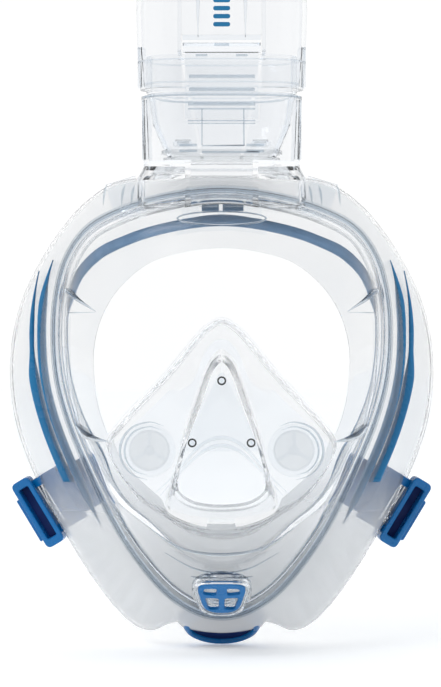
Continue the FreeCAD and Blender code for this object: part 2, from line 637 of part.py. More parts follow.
# ---- dry top ----
def drytop_body():
    """Housing round the tube's top: a float chamber at the front, an air duct at the back."""
    shell = oval([(TUBE_TOP_WIDTH + 5.4, TUBE_TOP_DEPTH + 5.4, DRYTOP_BOTTOM_Z),
                  (DRYTOP_WIDTH, DRYTOP_DEPTH, DRYTOP_FLOOR_Z),
                  (DRYTOP_WIDTH, DRYTOP_DEPTH, DRYTOP_TOP_Z - 8)])
    collar = oval([(TUBE_TOP_WIDTH + 2.2, TUBE_TOP_DEPTH + 1.4, DRYTOP_BOTTOM_Z - 1),
                   (TUBE_TOP_WIDTH + 0.5, TUBE_TOP_DEPTH + 0.5, TUBE_TOP_Z + 0.3)])
    hollow = oval([(DRYTOP_WIDTH - 4.4, DRYTOP_DEPTH - 4.4, DRYTOP_FLOOR_Z),
                   (DRYTOP_WIDTH - 4.4, DRYTOP_DEPTH - 4.4, DRYTOP_TOP_Z)])
    body = shell.cut(collar).cut(hollow)
    duct_y = TUBE_Y + 5.0
    divider = box(-33, 33, duct_y, duct_y + 1.6, DRYTOP_FLOOR_Z - 0.5, SEAT_Z + 1.6)
    inner_size = (DRYTOP_WIDTH - 3, DRYTOP_DEPTH - 3)
    inside = oval([inner_size + (DRYTOP_FLOOR_Z - 1,), inner_size + (SEAT_Z + 2,)])
    seat_plate = box(-40, 40, TUBE_Y - 30, duct_y + 1, SEAT_Z, SEAT_Z + 1.6).common(inside)
    seat_plate = seat_plate.cut(disc(8.0, 6, Vec(0, FLOAT_Y, SEAT_Z - 2), Vec(0, 0, 1)))
    body = body.fuse(divider.common(inside)).fuse(seat_plate)
    body = body.cut(box(-15, 15, duct_y + 1.6, TUBE_Y + 13.5, TUBE_TOP_Z - 2, DRYTOP_FLOOR_Z + 1))
    for i in range(5):
        x = -20 + 10 * i
        body = body.cut(box(x - 3, x + 3, TUBE_Y - 30, TUBE_Y - 16,
                            DRYTOP_FLOOR_Z + 4, DRYTOP_FLOOR_Z + 19))
    return body


def drytop_cap():
    """Crowned lid with a skirt that drops inside the housing."""
    lid = oval([(DRYTOP_WIDTH, DRYTOP_DEPTH, DRYTOP_TOP_Z - 7.9),
                (DRYTOP_WIDTH, DRYTOP_DEPTH, DRYTOP_TOP_Z - 4),
                (DRYTOP_WIDTH - 5, DRYTOP_DEPTH - 5, DRYTOP_TOP_Z)])
    lid = lid.fuse(oval([(DRYTOP_WIDTH - 4.8, DRYTOP_DEPTH - 4.8, DRYTOP_TOP_Z - 13),
                         (DRYTOP_WIDTH - 4.8, DRYTOP_DEPTH - 4.8, DRYTOP_TOP_Z - 7)]))
    return lid.cut(oval([(DRYTOP_WIDTH - 9, DRYTOP_DEPTH - 9, DRYTOP_TOP_Z - 14),
                         (DRYTOP_WIDTH - 9, DRYTOP_DEPTH - 9, DRYTOP_TOP_Z - 3)]))


def float_block():
    """Hollow float: a closed oval shell."""
    z0 = DRYTOP_FLOOR_Z + 1.0
    size = (FLOAT_WIDTH, FLOAT_DEPTH)
    core_size = (FLOAT_WIDTH - 3, FLOAT_DEPTH - 3)
    shell = oval([size + (z0,), size + (z0 + FLOAT_HEIGHT,)], FLOAT_Y)
    return shell.cut(oval([core_size + (z0 + 1.5,), core_size + (z0 + FLOAT_HEIGHT - 1.5,)], FLOAT_Y))


def float_seal():
    """Silicone pad on the float that closes the inlet seat under water."""
    z0 = DRYTOP_FLOOR_Z + 1.0 + FLOAT_HEIGHT
    return oval([(26, 16, z0 + 0.02), (26, 16, z0 + 1.6)], FLOAT_Y)


def build():
    os.makedirs("parts", exist_ok=True)
    skirt = skirt_body().cut(cap_clearance())
    frame = seal_frame().cut(cap_clearance())
    for side in (-1, 1):
        skirt = skirt.cut(bracket_window(side))
        frame = frame.cut(bracket_window(side))
    save(visor_lens(), "visor_lens")
    save(front_frame(), "front_frame")
    save(frame, "seal_frame")
    save(skirt, "face_skirt")
    save(oronasal_pocket(), "oronasal_pocket")
    save(nose_plate(), "nose_plate")
    save(nose_plate_rivets(), "nose_plate_rivets")
    save(valve_seat(PURGE_RADIUS, purge_base(), chin_axis), "purge_seat")
    save(valve_flap(PURGE_RADIUS - 0.5, purge_base(), chin_axis), "purge_flap")
    save(purge_cover(), "purge_cover")
    save(chin_cap(), "chin_cap")
    save(air_inlet_frame(), "air_inlet_frame")
    save(air_baffle(), "air_baffle")
    save(snorkel_socket(), "snorkel_socket")
    save(socket_gasket(), "socket_gasket")
    save(snorkel_base(), "snorkel_base")
    save(base_seal(), "base_seal")
    save(snorkel_tube(), "snorkel_tube")
    save(tube_mark(), "tube_mark")
    save(release_latch(), "release_latch")
    save(drytop_body(), "drytop_body")
    save(drytop_cap(), "drytop_cap")
    save(float_block(), "float_block")
    save(float_seal(), "float_seal")
    for side, name in ((-1, "left"), (1, "right")):
        save(valve_seat(VALVE_RADIUS, inhale_centre(side), Vec(0, 1, 0)), "inhale_seat_" + name)
        save(valve_flap(VALVE_RADIUS, inhale_centre(side), Vec(0, 1, 0)), "inhale_flap_" + name)
        save(exhale_seat(side), "exhale_seat_" + name)
        save(exhale_flap(side), "exhale_flap_" + name)
        save(strap_clip(side), "strap_clip_" + name)
        save(clip_pin(side), "clip_pin_" + name)
        save(strap_bracket(side), "strap_bracket_" + name)
        save(strap_loop(side), "strap_loop_" + name)


build()
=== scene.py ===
import math

import bmesh
import bpy
from mathutils import Matrix, Vector
from mathutils.bvhtree import BVHTree


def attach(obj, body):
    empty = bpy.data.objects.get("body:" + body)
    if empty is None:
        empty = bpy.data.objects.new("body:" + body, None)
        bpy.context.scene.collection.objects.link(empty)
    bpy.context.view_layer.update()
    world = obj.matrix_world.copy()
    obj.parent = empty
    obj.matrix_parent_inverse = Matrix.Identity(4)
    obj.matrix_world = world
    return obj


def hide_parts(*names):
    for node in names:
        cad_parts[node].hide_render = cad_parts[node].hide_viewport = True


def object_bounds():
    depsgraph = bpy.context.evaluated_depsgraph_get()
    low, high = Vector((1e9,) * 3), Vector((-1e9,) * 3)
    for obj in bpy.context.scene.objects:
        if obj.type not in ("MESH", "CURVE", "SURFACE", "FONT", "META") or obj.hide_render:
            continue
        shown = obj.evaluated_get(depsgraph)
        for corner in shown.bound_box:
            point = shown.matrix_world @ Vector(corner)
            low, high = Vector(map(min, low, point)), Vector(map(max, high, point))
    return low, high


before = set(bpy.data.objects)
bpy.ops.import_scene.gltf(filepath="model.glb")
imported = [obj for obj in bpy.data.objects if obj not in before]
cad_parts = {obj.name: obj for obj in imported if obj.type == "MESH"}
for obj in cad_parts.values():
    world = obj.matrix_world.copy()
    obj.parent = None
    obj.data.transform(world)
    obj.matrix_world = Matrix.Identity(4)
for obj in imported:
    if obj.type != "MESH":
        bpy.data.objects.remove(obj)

cad_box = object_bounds()

# Looks of the full-face snorkel mask. Shapes are drawn in millimetres in the CAD frame and scaled to metres.
# The mask faces low y; z is up.
MM = 0.001
AROUND = 288                # points round a closed outline
SWEEP_RADIUS = 115.0        # the front bends back round the face on this radius
FRONT_Y = -100.0            # foremost point of the window
FLANGE_Y = -72.0            # front of the window's clamping flange
BEAD_Y = FLANGE_Y + 3.1     # front of the skirt's bead, behind the flange
SOFT_Y = -40.0              # where the skirt is widest
SEAL_Y = -6.0               # rearmost ring of the face seal, at the middle
NOSE_FACE_Y = -68.0         # front of the nose box
TUBE_Y = -64.0              # centre line of the snorkel
LATCH_RIB_Y = -84.2         # fronts of the thin ribs on the release tab, the socket and the plug
SOCKET_RIB_Y = -85.4
PLUG_RIB_Y = -79.2
VALVE_X, VALVE_Z = 31.6, -21.6    # middle of the cup's right valve

# Right halves of the outlines, from the top of the mask to the chin, as (x, z).
RIM = [(0, 90.5), (22, 88.2), (43, 82.5), (58, 74.5), (67, 62), (71.6, 45), (72.6, 28), (71, 10),
       (66, -8), (57, -29), (47, -49), (36, -66), (22, -81.5), (9, -89), (0, -90.5)]
WINDOW = [(0, 80), (22, 78.3), (40, 73), (52, 64.5), (59, 52), (62, 32), (61.2, 8), (58.5, -12),
          (53, -27), (44, -39), (32, -49), (20, -59), (9, -66.5), (0, -68.5)]
SILHOUETTE = [(0, 99), (24, 98.5), (47, 96.2), (60, 88.5), (72, 76), (82, 61.5), (90.5, 45), (95.5, 26),
              (96.3, 8), (93, -12), (84, -34.5), (68, -62), (55.5, -80.5), (46, -91.8), (38, -98.5),
              (31, -100.5), (23, -97.5), (12, -95), (0, -94.5)]
OPENING = [(0, 68), (18, 66), (33, 61), (48, 47.5), (56.5, 29), (58, 12), (55.5, -4), (49.5, -18.5),
           (41, -31), (31, -40.5), (19, -48.5), (8, -52), (0, -52.5)]
POCKET = [(0, 35), (6, 32), (24, 11), (44, -10.5), (50.5, -20), (49, -30), (40, -42), (26, -52.5),
          (12, -58.5), (0, -60)]
NOSE_BACK = [(0, 26), (5, 22), (12, 4), (17.8, -16), (18.8, -26), (23.5, -38), (24.5, -46),
             (17, -51.5), (0, -53.5)]
NOSE_FRONT = [(0, 18.5), (4, 15.5), (10.5, -1), (16.8, -18), (19.5, -29), (19.5, -37),
              (13, -42.5), (0, -44.5)]


# ---- lines and outlines ----
def sweep(x):
    """How far the mask has bent back at x."""
    reach = min(abs(x), SWEEP_RADIUS - 2)
    return SWEEP_RADIUS - math.sqrt(SWEEP_RADIUS ** 2 - reach ** 2)


def eased(t):
    """A smooth step from 0 to 1."""
    t = min(max(t, 0.0), 1.0)
    return t * t * (3 - 2 * t)


def angles(count):
    """Evenly spaced angles round a circle."""
    return [2 * math.pi * i / count for i in range(count)]


def smooth(points, steps=24):
    """A closed centripetal Catmull-Rom curve through points, as a dense list."""
    dense = []
    count = len(points)
    for i in range(count):
        p0, p1, p2, p3 = (Vector(points[(i + k - 1) % count]) for k in range(4))
        t1 = (p1 - p0).length ** 0.5
        t2 = t1 + (p2 - p1).length ** 0.5
        t3 = t2 + (p3 - p2).length ** 0.5
        for s in range(steps):
            t = t1 + (t2 - t1) * s / steps
            a1 = p0 * ((t1 - t) / t1) + p1 * (t / t1)
            a2 = p1 * ((t2 - t) / (t2 - t1)) + p2 * ((t - t1) / (t2 - t1))
            a3 = p2 * ((t3 - t) / (t3 - t2)) + p3 * ((t - t2) / (t3 - t2))
            b1 = a1 * ((t2 - t) / t2) + a2 * (t / t2)
            b2 = a2 * ((t3 - t) / (t3 - t1)) + a3 * ((t - t1) / (t3 - t1))
            dense.append(b1 * ((t2 - t) / (t2 - t1)) + b2 * ((t - t1) / (t2 - t1)))
    return dense


def smooth_open(path, steps=8):
    """A uniform Catmull-Rom curve through a path's points, open at both ends."""
    points = [Vector(p) for p in path]
    padded = [points[0] * 2 - points[1]] + points + [points[-1] * 2 - points[-2]]
    dense = []
    for p0, p1, p2, p3 in zip(padded, padded[1:], padded[2:], padded[3:]):
        for k in range(steps):
            t = k / steps
            dense.append(0.5 * (p1 * 2 + (p2 - p0) * t + (p0 * 2 - p1 * 5 + p2 * 4 - p3) * t * t
                                + (p1 * 3 - p0 - p2 * 3 + p3) * t * t * t))
    return dense + [points[-1]]


def evenly(points, count, closed=True):
    """Points spaced evenly along a dense line, starting at its first point."""
    line = points + points[:1] if closed else points
    lengths = [0.0]
    for a, b in zip(line, line[1:]):
        lengths.append(lengths[-1] + (b - a).length)
    spaced = []
    k = 0
    for i in range(count):
        want = lengths[-1] * i / (count if closed else count - 1)
        while k < len(lengths) - 2 and lengths[k + 1] < want:
            k += 1
        share = (want - lengths[k]) / max(lengths[k + 1] - lengths[k], 1e-9)
        spaced.append(line[k].lerp(line[k + 1], share))
    return spaced


def direction(points, i, closed=False):
    """Which way a line runs at its point i."""
    ahead = points[(i + 1) % len(points)] if closed else points[min(i + 1, len(points) - 1)]
    behind = points[i - 1] if closed else points[max(i - 1, 0)]
    return ahead - behind


def mirrored(half):
    """A line across the middle, from its right half; the point on the middle comes first."""
    return [(-x, *rest) for x, *rest in half[:0:-1]] + half


def outline(half):
    """A closed, evenly sampled outline from its right half; the top point comes first."""
    return evenly(smooth(half + [(-x, z) for x, z in half[-2:0:-1]]), AROUND)


def offset(points, distance):
    """The outline moved outward by a distance (inward if it is negative)."""
    moved = []
    count = len(points)
    for i, p in enumerate(points):
        run = (points[(i + 2) % count] - points[i - 2]).normalized()
        moved.append(p + Vector((-run.y, run.x)) * distance)
    return moved


def mix(first, second, share):
    """The outline between two others; share is a number or a function of the point."""
    return [a.lerp(b, share(a) if callable(share) else share) for a, b in zip(first, second)]


def shrunk(points, centre, share):
    """The outline drawn in towards a centre."""
    return [Vector(centre).lerp(p, share) for p in points]


def ring(points, depth):
    """The outline at a depth, bent back round the face."""
    return [Vector((p.x, depth + sweep(p.x), p.y)) for p in points]


def flat(points, y):
    """The outline at a depth, not bent."""
    return [Vector((p.x, y, p.y)) for p in points]


def rounded(corners, radius, steps=6):
    """A closed outline with every corner rounded by a quadratic curve."""
    points = []
    count = len(corners)
    for i in range(count):
        before, here, after = (Vector(corners[(i + k - 1) % count]) for k in range(3))
        start = here + (before - here).normalized() * min(radius, (before - here).length / 2)
        end = here + (after - here).normalized() * min(radius, (after - here).length / 2)
        for k in range(steps + 1):
            t = k / steps
            points.append(start * (1 - t) ** 2 + here * 2 * t * (1 - t) + end * t * t)
    return points


def rounded_box(half_width, half_height, radius):
    """A rounded rectangle about the origin."""
    return rounded([(-half_width, -half_height), (half_width, -half_height),
                    (half_width, half_height), (-half_width, half_height)], radius)


rim = outline(RIM)
window = outline(WINDOW)
silhouette = outline(SILHOUETTE)
opening = outline(OPENING)
pocket = outline(POCKET)
nose_back = outline(NOSE_BACK)
nose_front = outline(NOSE_FRONT)


# ---- mesh building ----
def side_name(side):
    """The name of a side; right is +x in the frame."""
    return "right" if side > 0 else "left"


def finish_mesh(name, bm, material, body="mask", replaces=(), slot=None):
    """Turn a bmesh in millimetres into a smooth object that rides on a body."""
    bmesh.ops.remove_doubles(bm, verts=bm.verts, dist=0.001)
    bmesh.ops.recalc_face_normals(bm, faces=bm.faces)
    bm.transform(Matrix.Scale(MM, 4))
    mesh = bpy.data.meshes.new(name)
    bm.to_mesh(mesh)
    bm.free()
    for face in mesh.polygons:
        face.use_smooth = True
    piece = bpy.data.objects.new(name, mesh)
    bpy.context.scene.collection.objects.link(piece)
    mesh.materials.append(material)
    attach(piece, body)
    if replaces:
        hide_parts(*replaces)
    return piece


def skin(bm, rings, wrap=False):
    """Quads between each ring and the next; wrap also joins the last to the first."""
    rows = [[bm.verts.new(p) for p in points] for points in rings]
    if wrap:
        rows.append(rows[0])
    for low, high in zip(rows, rows[1:]):
        count = len(low)
        for i in range(count):
            j = (i + 1) % count
            bm.faces.new((low[i], low[j], high[j], high[i]))
    return rows


def cap(bm, row):
    """Close a row of vertices with one fan round its middle."""
    middle = bm.verts.new(sum((v.co for v in row), Vector()) / len(row))
    for i in range(len(row)):
        bm.faces.new((row[i], row[(i + 1) % len(row)], middle))


def band(name, section, material, **keys):
    """A closed band: section lists its cross-section's corners as rings."""
    bm = bmesh.new()
    skin(bm, section, wrap=True)
    return finish_mesh(name, bm, material, **keys)


def rod(name, sections, material, **keys):
    """A solid between its first and last sections, closed at both ends."""
    bm = bmesh.new()
    rows = skin(bm, sections)
    cap(bm, rows[0])
    cap(bm, rows[-1])
    return finish_mesh(name, bm, material, **keys)


def wire(name, path, radius, material, closed=False, **keys):
    """A round rod bent along a smooth path of points; an open one thins out to its ends."""
    points = smooth(path, 10) if closed else smooth_open(path)
    sections = []
    for i, p in enumerate(points):
        along = direction(points, i, closed).normalized()
        side = along.cross(Vector((0, 1, 0))).normalized()
        up = side.cross(along)
        share = min(max(i / (len(points) - 1), 0.02), 0.98)
        fullness = 1.0 if closed else 0.08 + 0.92 * math.sin(math.pi * share)
        sections.append([p + (side * math.cos(a) + up * math.sin(a)) * radius * fullness for a in angles(10)])
    return (band if closed else rod)(name, sections, material, **keys)


def turned(name, profile, place, material, **keys):
    """A closed profile of (radius, height) turned about the place's own Z axis."""
    sections = [[place @ Vector((radius * math.cos(a), radius * math.sin(a), height)) for a in angles(72)]
                for radius, height in profile]
    return band(name, sections, material, **keys)


def bevel(piece, width):
    """Round a piece's sharp edges by a width in millimetres."""
    edge = piece.modifiers.new("edge", "BEVEL")
    edge.width = width * MM
    edge.segments = 2
    edge.limit_method = "ANGLE"
    edge.angle_limit = math.radians(40)
    edge.harden_normals = True


def bars(name, boxes, material, **keys):
    """Rounded bars as one piece; each is (x low, x high, y low, y high, z low, z high)."""
    bm = bmesh.new()
    for x0, x1, y0, y1, z0, z1 in boxes:
        made = bmesh.ops.create_cube(bm, size=1.0)["verts"]
        bmesh.ops.scale(bm, vec=(x1 - x0, y1 - y0, z1 - z0), verts=made)
        bmesh.ops.translate(bm, vec=((x0 + x1) / 2, (y0 + y1) / 2, (z0 + z1) / 2), verts=made)
    bevel(finish_mesh(name, bm, material, **keys), 0.25)


def standing(centre, right, up):
    """The place of a plate whose own x and y lie along right and up."""
    right, up = Vector(right).normalized(), Vector(up).normalized()
    out = right.cross(up)
    turn = Matrix((right, up, out)).transposed().to_4x4()
    return Matrix.Translation(Vector(centre)) @ turn


def plate(name, outlines, thickness, edge, place, material, **keys):
    """A flat plate with rounded edges, in the place's own x and y: its outside first, then its holes."""
    curve = bpy.data.curves.new(name, "CURVE")
    curve.dimensions = "2D"
    curve.fill_mode = "BOTH"
    curve.extrude = thickness / 2 - edge
    curve.bevel_depth = edge
    curve.bevel_resolution = 2
    curve.offset = -edge
    for points in outlines:
        spline = curve.splines.new("POLY")
        spline.points.add(len(points) - 1)
        for corner, p in zip(spline.points, points):
            corner.co = (p[0], p[1], 0, 1)
        spline.use_cyclic_u = True
    holder = bpy.data.objects.new(name, curve)
    bpy.context.scene.collection.objects.link(holder)
    bpy.context.view_layer.update()
    flat_mesh = bpy.data.meshes.new_from_object(holder.evaluated_get(bpy.context.evaluated_depsgraph_get()))
    bpy.data.objects.remove(holder)
    bm = bmesh.new()
    bm.from_mesh(flat_mesh)
    bm.transform(place)
    piece = finish_mesh(name, bm, material, **keys)
    for face in piece.data.polygons:
        face.use_smooth = False


# ---- materials ----
def new_material(name):
    """A node material, its node tree and its shader."""
    material = bpy.data.materials.new(name)
    material.use_nodes = True
    tree = material.node_tree
    shader = next(n for n in tree.nodes if n.type == "BSDF_PRINCIPLED")
    return material, tree, shader


def noise(tree, scale, detail=3.0, stretch=(1, 1, 1)):
    """Noise in object space; scale is in features per metre."""
    where = tree.nodes.new("ShaderNodeTexCoord")
    place = tree.nodes.new("ShaderNodeMapping")
    place.inputs["Scale"].default_value = stretch
    grain = tree.nodes.new("ShaderNodeTexNoise")
    grain.inputs["Scale"].default_value = scale
    grain.inputs["Detail"].default_value = detail
    tree.links.new(where.outputs["Object"], place.inputs["Vector"])
    tree.links.new(place.outputs["Vector"], grain.inputs["Vector"])
    return grain.outputs["Fac"]


def ramp(tree, value, low, high, at=(0.35, 0.65)):
    """A colour ramp between two grey or RGB values."""
    node = tree.nodes.new("ShaderNodeValToRGB")
    for element, position, colour in zip(node.color_ramp.elements, at, (low, high)):
        element.position = position
        element.color = (colour, colour, colour, 1) if isinstance(colour, float) else (*colour, 1)
    tree.links.new(value, node.inputs["Fac"])
    return node.outputs["Color"]


def bump(tree, shader, value, strength, distance):
    """Let a value raise the surface; distance is in metres."""
    node = tree.nodes.new("ShaderNodeBump")
    node.inputs["Strength"].default_value = strength
    node.inputs["Distance"].default_value = distance
    tree.links.new(value, node.inputs["Height"])
    tree.links.new(node.outputs["Normal"], shader.inputs["Normal"])


def clear_plastic(name, tint_low, tint_high, rough, ior, edge=(0.80, 0.83, 0.87)):
    """Moulded clear plastic: faint streaks in its tint and gloss, and painted shade that greys it where it is
    seen edge-on.
    """
    material, tree, shader = new_material(name)
    streaks = noise(tree, 22, 4, (1, 1, 0.35))
    body = ramp(tree, streaks, tint_low, tint_high)
    # Painted shade: the colour turns towards the edge grey at grazing angles, in place of the grey that
    # refraction gives there.
    facing = tree.nodes.new("ShaderNodeLayerWeight")
    facing.inputs["Blend"].default_value = 0.5
    grazing = ramp(tree, facing.outputs["Facing"], 0.0, 1.0, (0.55, 0.98))
    blend = tree.nodes.new("ShaderNodeMix")
    blend.data_type = "RGBA"
    blend.inputs["B"].default_value = (*edge, 1)
    tree.links.new(grazing, blend.inputs["Factor"])
    tree.links.new(body, blend.inputs["A"])
    tree.links.new(blend.outputs["Result"], shader.inputs["Base Color"])
    tree.links.new(ramp(tree, noise(tree, 60, 2), *rough), shader.inputs["Roughness"])
    shader.inputs["Transmission Weight"].default_value = 1.0
    shader.inputs["IOR"].default_value = ior
    return material


def rising(tree, low, high, from_z, to_z):
    """A value that goes from low to high between two heights in millimetres."""
    place = tree.nodes.new("ShaderNodeTexCoord")
    split = tree.nodes.new("ShaderNodeSeparateXYZ")
    level = tree.nodes.new("ShaderNodeMapRange")
    level.inputs["From Min"].default_value = from_z * MM
    level.inputs["From Max"].default_value = to_z * MM
    level.inputs["To Min"].default_value = low
    level.inputs["To Max"].default_value = high
    tree.links.new(place.outputs["Object"], split.inputs["Vector"])
    tree.links.new(split.outputs["Z"], level.inputs["Value"])
    return level.outputs["Result"]


def silicone(name, tint_low, tint_high, rough, transmission, ior):
    """Translucent silicone; transmission is one value, or the values at the chin and above it."""
    material, tree, shader = new_material(name)
    tree.links.new(ramp(tree, noise(tree, 30, 5), tint_low, tint_high), shader.inputs["Base Color"])
    tree.links.new(ramp(tree, noise(tree, 80, 2), *rough), shader.inputs["Roughness"])
    shader.inputs["IOR"].default_value = ior
    bump(tree, shader, noise(tree, 45, 3, (1, 1, 0.2)), 0.12, 0.0005)
    if isinstance(transmission, float):
        shader.inputs["Transmission Weight"].default_value = transmission
    else:
        tree.links.new(rising(tree, *transmission, -85, -30), shader.inputs["Transmission Weight"])
    return material


def solid_plastic(name, low, high, rough=(0.22, 0.34), grain=1200, drift=25, metallic=0.0):
    """Opaque moulded surface with slight colour drift and fine spark-eroded texture."""
    material, tree, shader = new_material(name)
    tree.links.new(ramp(tree, noise(tree, drift, 4), low, high), shader.inputs["Base Color"])
    tree.links.new(ramp(tree, noise(tree, 160, 3), *rough), shader.inputs["Roughness"])
    shader.inputs["IOR"].default_value = 1.5
    shader.inputs["Specular IOR Level"].default_value = 0.35
    shader.inputs["Metallic"].default_value = metallic
    bump(tree, shader, noise(tree, grain, 2), 0.12, 0.00015)
    return material


# Thin raised details use a low index of refraction, so that they read as faint lines and not as black ones.
LENS = clear_plastic("clear_lens", (0.975, 0.982, 0.988), (0.985, 0.99, 0.993), (0.0, 0.02), 1.31,
                     edge=(0.83, 0.86, 0.89))
FRAME = clear_plastic("clear_frame", (0.945, 0.958, 0.97), (0.965, 0.975, 0.985), (0.02, 0.07), 1.38)
SHELL = clear_plastic("clear_snorkel", (0.958, 0.964, 0.971), (0.972, 0.977, 0.983), (0.0, 0.04), 1.42,
                      edge=(0.56, 0.61, 0.67))
# Painted shade: these three greyer clear plastics stand in for the grey that refraction shows along edges,
# ribs and walls.
PAINTED_SHADE_CLEAR = clear_plastic("painted_shade_clear", (0.68, 0.73, 0.78), (0.76, 0.80, 0.84), (0.04, 0.10), 1.14)
EDGE = clear_plastic("shaded_edge", (0.64, 0.69, 0.74), (0.70, 0.75, 0.79), (0.02, 0.06), 1.08)
FAINT = clear_plastic("faint_edge", (0.86, 0.89, 0.92), (0.90, 0.92, 0.94), (0.02, 0.06), 1.10)
SKIRT = silicone("skirt_silicone", (0.95, 0.958, 0.965), (0.985, 0.988, 0.99), (0.05, 0.11), (0.42, 0.90),
                 1.16)
CUP = silicone("cup_silicone", (0.95, 0.96, 0.97), (0.97, 0.976, 0.982), (0.04, 0.10), 0.94, 1.09)
FLAP = silicone("flap_silicone", (0.93, 0.945, 0.955), (0.96, 0.97, 0.975), (0.12, 0.2), 0.92, 1.2)
BLUE = solid_plastic("blue_plastic", (0.0, 0.12, 0.34), (0.001, 0.15, 0.42))
BLUE_RING = solid_plastic("blue_ring", (0.012, 0.15, 0.34), (0.02, 0.19, 0.40))
BLUE_BROW = solid_plastic("blue_brow", (0.17, 0.31, 0.50), (0.21, 0.35, 0.55))
# Painted shade: a dark navy for the shaded dish of the chin cap and the shaded backs of the strap slots.
BLUE_PAINTED_SHADE = solid_plastic("blue_painted_shade", (0.0, 0.012, 0.09), (0.0, 0.02, 0.13), (0.6, 0.8))
PRINT = solid_plastic("blue_print", (0.008, 0.14, 0.30), (0.012, 0.17, 0.35), (0.3, 0.45))
FLOAT = solid_plastic("float_plastic", (0.72, 0.74, 0.76), (0.8, 0.82, 0.83), (0.35, 0.5))
STEEL = solid_plastic("steel_pin", (0.55, 0.56, 0.58), (0.66, 0.67, 0.68), (0.2, 0.32), grain=2000, drift=120,
                      metallic=1.0)


# ---- window and bezel ----
def window_wall(inward, back, steps):
    """Rings from the pane's edge to the rim's foot: a broad quarter ellipse, or a tight bend at the chin."""
    depth = 27.4            # the foot lies this far behind the pane
    roll = 0.3              # share of the steps that lead up to the edge of the tight bend
    chin_z, blend = -52.0, 26.0
    start = offset(window, -7.0 - inward / 2)
    edge = offset(window, 0.4 - inward)
    foot = offset(rim, -1.4 - inward)
    rings = []
    for t in steps:
        across, along = math.sin(math.pi * t / 2), 1 - math.cos(math.pi * t / 2)
        broad = ring(mix(start, foot, across), FRONT_Y + back + (depth - back) * along)
        past = max(0.0, (t - roll) / (1.0 - roll))
        tight = ring(mix(mix(start, edge, min(t / roll, 1.0)), foot, past),
                     FRONT_Y + back + (depth - back) * past + 1.2 * eased(t / roll) * (1 - past))
        rings.append([sharp.lerp(wide, eased((sharp.z - chin_z) / blend))
                      for wide, sharp in zip(broad, tight)])
    return rings


def visor():
    """Pane that bends back to its rim: broadly over the brow and the sides, tightly at the chin."""
    centre = (0, 8)
    pane_thick, wall_thick = 2.3, 2.4
    shares = (0.02, 0.15, 0.3, 0.5, 0.7, 0.82)
    steps = [i / 14 for i in range(15)]
    front = [ring(shrunk(window, centre, s), FRONT_Y) for s in shares]
    foot = [ring(offset(rim, out), FLANGE_Y + back)
            for out, back in ((-0.5, -0.1), (0, 0.5), (0, 2.4), (-0.4, 2.8), (-3.4, 2.8))]
    back = [ring(shrunk(window, centre, s), FRONT_Y + pane_thick) for s in shares[::-1]]
    outer = window_wall(0.0, 0.0, steps)
    inner = window_wall(wall_thick, pane_thick, steps[::-1])
    return rod("visor_window", front + outer + foot + inner + back, LENS, replaces=["visor_lens"],
               slot="clear_shell")


def bezel():
    """Narrow edge that hooks over the window's rim all round, and the thin lead before it, both greyed as
    painted shade.
    """
    section = [(-0.9, -1.9), (-0.4, -2.3), (1.4, -2.2), (2.0, -1.6), (2.0, 7.4), (1.6, 8.0), (0.5, 8.0),
               (0.15, 7.6), (0.15, -0.4), (-0.7, -0.5), (-0.9, -0.9)]
    rings = [ring(offset(rim, out), FLANGE_Y + back) for out, back in section]
    band("bezel", rings, PAINTED_SHADE_CLEAR, replaces=["front_frame"], slot="clear_frame")
    radius, out, front = 0.7, 0.4, FLANGE_Y - 2.6
    lead = [ring(offset(rim, out + radius * math.cos(a)), front + radius * math.sin(a)) for a in angles(8)]
    band("bezel_lead", lead, EDGE, slot="clear_frame")


def pane_mark(name, pane, path, material=PAINTED_SHADE_CLEAR):
    """A fine raised line on the pane; the path is (x, z, half width), projected on the pane's front."""
    ahead_y = -200
    points = evenly(smooth_open(path), 24, closed=False)
    sections = []
    for i, p in enumerate(points):
        run = direction(points, i)
        along = Vector((run.x, run.y)).normalized()
        across = Vector((-along.y, along.x)) * p.z
        row = []
        for share, height in ((-1, 0.25), (-0.6, -0.35), (0.6, -0.35), (1, 0.25)):
            x, z = p.x + across.x * share, p.y + across.y * share
            hit = pane.ray_cast(Vector((x, ahead_y, z)), Vector((0, 1, 0)))[0]
            row.append(Vector((x, (hit.y if hit else FRONT_Y + sweep(x)) + height, z)))
        sections.append(row)
    rod(name, sections, material, slot="clear_shell")


def pane_marks(pane_piece):
    """Painted shade lines on the window's side facets with their spurs and on the bends over the chin,
    and a painted reflection of the grille under the lower bend.
    """
    bm = bmesh.new()
    bm.from_mesh(pane_piece.data)
    bm.transform(Matrix.Scale(1 / MM, 4))
    pane = BVHTree.FromBMesh(bm)
    bm.free()
    facet = {"upper_spur": [(67.3, 48.2, 1.1), (64.5, 47.0, 1.3), (60.0, 43.4, 0.8), (53.0, 38.9, 0.12)],
             "lower_spur": [(62.5, -9.6, 0.9), (59.5, -12.4, 1.7), (54.0, -14.6, 1.2), (47.0, -16.0, 0.12)],
             "facet_edge": [(66.5, 38.5, 0.16), (62.0, 38.5, 0.2), (53.5, 38.5, 0.1)],
             "facet_line": [(66.2, 37.0, 0.2), (66.4, 24.0, 0.22), (65.6, 8.0, 0.22), (61.8, -10.0, 0.2)]}
    for side in (-1, 1):
        for mark, path in facet.items():
            pane_mark(mark + "_" + side_name(side), pane, [(side * x, z, half) for x, z, half in path])
    pane_mark("chin_bend_upper", pane, mirrored([(0, -62.6, 0.7), (17, -60, 0.5), (30, -52, 0.15)]))
    pane_mark("chin_bend_lower", pane, mirrored([(0, -70.6, 0.6), (12, -68.6, 0.4), (24, -62.5, 0.15)]), EDGE)
    # Painted reflection: a grey-blue mark where the window's lower bend mirrors the blue grille.
    pane_mark("chin_painted_reflection", pane, mirrored([(0, -74.0, 1.6), (13, -72.6, 0.2)]))


# ---- blue frame ----
def brow_share(p):
    """0 at the temples, 1 at the top of the brow."""
    return eased((p.y - 44.0) / 34.0)


def brow_fullness(p):
    """0 below the temples, where the band has thinned out, 1 above them."""
    return eased((p.y - 36.0) / 12.0)


